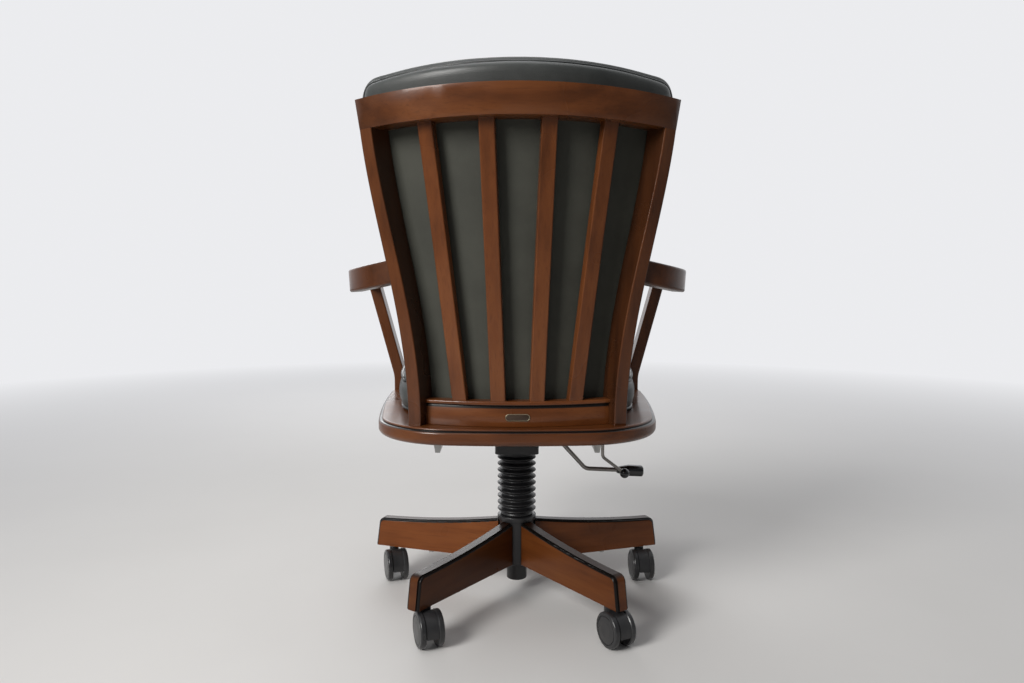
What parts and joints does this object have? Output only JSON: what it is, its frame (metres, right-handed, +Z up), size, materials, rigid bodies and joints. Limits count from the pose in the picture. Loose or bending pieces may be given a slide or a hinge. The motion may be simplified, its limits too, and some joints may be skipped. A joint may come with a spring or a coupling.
{
  "type": "swivel desk chair",
  "caption": "Wooden swivel desk chair with a bowed slatted back, padded seat and back, bent arms, gas lift, tilting seat and a star base on twin-wheel casters.",
  "frame": {"origin": "on the floor under the axis of the gas column", "axes": "+Z up, +Y towards the sitter's front, +X to the sitter's right"},
  "size_m": [0.6282, 0.6339, 0.934],
  "materials": {
    "stained_wood": "dark brown stain under gloss lacquer",
    "leather": "dark grey-green upholstery leather",
    "panel_leather": "flat-stretched grey-green leathercloth",
    "black_steel": "satin black powder coat",
    "zinc_steel": "zinc-plated steel",
    "bright_steel": "ground and plated steel",
    "rubber": "matte black rubber",
    "black_plastic": "satin black moulding",
    "wheel_plastic": "semi-gloss black nylon"
  },
  "bodies": {
    "base": {"base_hub": "black_steel", "leg_1": "stained_wood", "leg_2": "stained_wood", "leg_3": "stained_wood", "leg_4": "stained_wood", "leg_5": "stained_wood", "leg_bolts": "zinc_steel", "caster_sockets": "zinc_steel", "caster_stems": "zinc_steel", "column_tube": "black_steel", "guide_bush": "black_plastic", "thrust_bearing": "zinc_steel"},
    "lift_rod": {"piston_rod": "bright_steel", "bellows": "rubber"},
    "mechanism": {"gas_cylinder": "bright_steel", "tilt_housing": "black_steel", "pivot_pins": "zinc_steel", "torsion_bushes": "rubber"},
    "height_control": {"height_lever": "zinc_steel", "height_paddle": "black_plastic"},
    "valve": {"valve_pin": "bright_steel"},
    "tension_control": {"tension_knob": "black_plastic"},
    "tilt_lock": {"lock_lever": "zinc_steel", "lock_ball": "black_plastic"},
    "seat": {"seat_board": "stained_wood", "seat_cushion": "leather", "seat_rails": "zinc_steel", "tilt_plate": "black_steel", "back_post_left": "stained_wood", "back_post_right": "stained_wood", "top_rail": "stained_wood", "back_slat_1": "stained_wood", "back_slat_2": "stained_wood", "back_slat_3": "stained_wood", "back_slat_4": "stained_wood", "bottom_rail": "stained_wood", "bottom_rail_cap": "stained_wood", "back_pad": "leather", "back_panel": "panel_leather", "arm_left": "stained_wood", "arm_right": "stained_wood", "arm_strut_left": "stained_wood", "arm_strut_right": "stained_wood", "frame_bolts": "zinc_steel", "seat_screws": "zinc_steel"},
    "caster_1": {"caster_hood_1": "black_plastic"},
    "wheel_1_left": {"caster_wheel_1_left": "wheel_plastic"},
    "wheel_1_right": {"caster_wheel_1_right": "wheel_plastic"},
    "caster_2": {"caster_hood_2": "black_plastic"},
    "wheel_2_left": {"caster_wheel_2_left": "wheel_plastic"},
    "wheel_2_right": {"caster_wheel_2_right": "wheel_plastic"},
    "caster_3": {"caster_hood_3": "black_plastic"},
    "wheel_3_left": {"caster_wheel_3_left": "wheel_plastic"},
    "wheel_3_right": {"caster_wheel_3_right": "wheel_plastic"},
    "caster_4": {"caster_hood_4": "black_plastic"},
    "wheel_4_left": {"caster_wheel_4_left": "wheel_plastic"},
    "wheel_4_right": {"caster_wheel_4_right": "wheel_plastic"},
    "caster_5": {"caster_hood_5": "black_plastic"},
    "wheel_5_left": {"caster_wheel_5_left": "wheel_plastic"},
    "wheel_5_right": {"caster_wheel_5_right": "wheel_plastic"}
  },
  "joints": [
    {"name": "seat_swivel", "type": "hinge", "parent": "base", "child": "lift_rod", "pos_m": [0, 0, 0.038], "axis": [0, 0, 1], "continuous": true},
    {"name": "seat_lift", "type": "slide", "parent": "lift_rod", "child": "mechanism", "axis": [0, 0, 1], "range_m": [-0.035, 0.055], "deforming": ["bellows"]},
    {"name": "seat_tilt", "type": "hinge", "parent": "mechanism", "child": "seat", "pos_m": [0, 0.045, 0.312], "axis": [1, 0, 0], "range_deg": [0, 12], "stiffness_Nm_per_rad": 90, "springref_deg": -34.38},
    {"name": "height_lever_pull", "type": "hinge", "parent": "mechanism", "child": "height_control", "pos_m": [0.048, 0, 0.311], "axis": [0, -1, 0], "range_deg": [0, 7], "stiffness_Nm_per_rad": 4, "springref_deg": -5.73},
    {"name": "valve_press", "type": "slide", "parent": "mechanism", "child": "valve", "axis": [0, 0, -1], "range_m": [0, 0.006]},
    {"name": "tension_turn", "type": "hinge", "parent": "mechanism", "child": "tension_control", "pos_m": [0, 0.072, 0.256], "axis": [0, 0, 1], "continuous": true},
    {"name": "tilt_lock_swing", "type": "hinge", "parent": "seat", "child": "tilt_lock", "pos_m": [0.066, -0.045, 0.305], "axis": [-1, 0, 0], "range_deg": [0, 30]},
    {"name": "caster_1_swivel", "type": "hinge", "parent": "base", "child": "caster_1", "pos_m": [0, 0.26, 0.05], "axis": [0, 0, 1], "continuous": true},
    {"name": "wheel_1_left_roll", "type": "hinge", "parent": "caster_1", "child": "wheel_1_left", "pos_m": [0.00684, 0.24121, 0.03], "axis": [0.9397, 0.342, 0], "continuous": true},
    {"name": "wheel_1_right_roll", "type": "hinge", "parent": "caster_1", "child": "wheel_1_right", "pos_m": [0.00684, 0.24121, 0.03], "axis": [0.9397, 0.342, 0], "continuous": true},
    {"name": "caster_2_swivel", "type": "hinge", "parent": "base", "child": "caster_2", "pos_m": [-0.24727, 0.08034, 0.05], "axis": [0, 0, 1], "continuous": true},
    {"name": "wheel_2_left_roll", "type": "hinge", "parent": "caster_2", "child": "wheel_2_left", "pos_m": [-0.24076, 0.06143, 0.03], "axis": [0.9455, 0.3256, 0], "continuous": true},
    {"name": "wheel_2_right_roll", "type": "hinge", "parent": "caster_2", "child": "wheel_2_right", "pos_m": [-0.24076, 0.06143, 0.03], "axis": [0.9455, 0.3256, 0], "continuous": true},
    {"name": "caster_3_swivel", "type": "hinge", "parent": "base", "child": "caster_3", "pos_m": [-0.15282, -0.21034, 0.05], "axis": [0, 0, 1], "continuous": true},
    {"name": "wheel_3_left_roll", "type": "hinge", "parent": "caster_3", "child": "wheel_3_left", "pos_m": [-0.14566, -0.22902, 0.03], "axis": [0.9336, 0.3584, 0], "continuous": true},
    {"name": "wheel_3_right_roll", "type": "hinge", "parent": "caster_3", "child": "wheel_3_right", "pos_m": [-0.14566, -0.22902, 0.03], "axis": [0.9336, 0.3584, 0], "continuous": true},
    {"name": "caster_4_swivel", "type": "hinge", "parent": "base", "child": "caster_4", "pos_m": [0.15282, -0.21034, 0.05], "axis": [0, 0, 1], "continuous": true},
    {"name": "wheel_4_left_roll", "type": "hinge", "parent": "caster_4", "child": "wheel_4_left", "pos_m": [0.1619, -0.22817, 0.03], "axis": [0.891, 0.454, 0], "continuous": true},
    {"name": "wheel_4_right_roll", "type": "hinge", "parent": "caster_4", "child": "wheel_4_right", "pos_m": [0.1619, -0.22817, 0.03], "axis": [0.891, 0.454, 0], "continuous": true},
    {"name": "caster_5_swivel", "type": "hinge", "parent": "base", "child": "caster_5", "pos_m": [0.24727, 0.08034, 0.05], "axis": [0, 0, 1], "continuous": true},
    {"name": "wheel_5_left_roll", "type": "hinge", "parent": "caster_5", "child": "wheel_5_left", "pos_m": [0.24937, 0.06045, 0.03], "axis": [0.9945, 0.1045, 0], "continuous": true},
    {"name": "wheel_5_right_roll", "type": "hinge", "parent": "caster_5", "child": "wheel_5_right", "pos_m": [0.24937, 0.06045, 0.03], "axis": [0.9945, 0.1045, 0], "continuous": true}
  ],
  "couplings": [
    {"joint": "valve_press", "follows": "height_lever_pull", "m_per_rad": 0.048}
  ]
}
